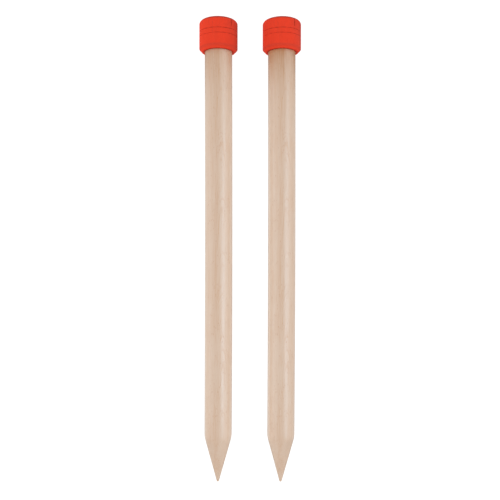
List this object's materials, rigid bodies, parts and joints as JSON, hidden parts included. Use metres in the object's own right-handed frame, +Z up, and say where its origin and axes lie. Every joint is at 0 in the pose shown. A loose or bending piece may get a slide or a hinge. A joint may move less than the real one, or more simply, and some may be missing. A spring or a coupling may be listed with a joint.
{
  "type": "straight knitting needles",
  "caption": "Thick straight wooden knitting needles, each with a long conical point and a grooved, red-painted stopper knob, lying side by side.",
  "frame": {"origin": "on the surface that the needles lie on, midway between the two needles and halfway along them", "axes": "+Y from the points towards the knobs, +Z up, +X from the left needle to the right one; each needle's axis slopes up by 0.81 degrees towards its knob, because the knob is wider than the shaft"},
  "size_m": [0.093, 0.4238, 0.0353],
  "materials": {
    "shaft_wood": "satin, sanded and waxed pale birch or beech",
    "knob_paint": "satin red paint over turned wood"
  },
  "bodies": {
    "left_needle": {"left_shaft": "shaft_wood", "left_knob": "knob_paint"},
    "right_needle": {"right_shaft": "shaft_wood", "right_knob": "knob_paint"}
  },
  "joints": [
    {"name": "right_needle_slide", "type": "slide", "parent": "left_needle", "child": "right_needle", "axis": [0, -1, 0], "range_m": [0, 0.3952]}
  ]
}
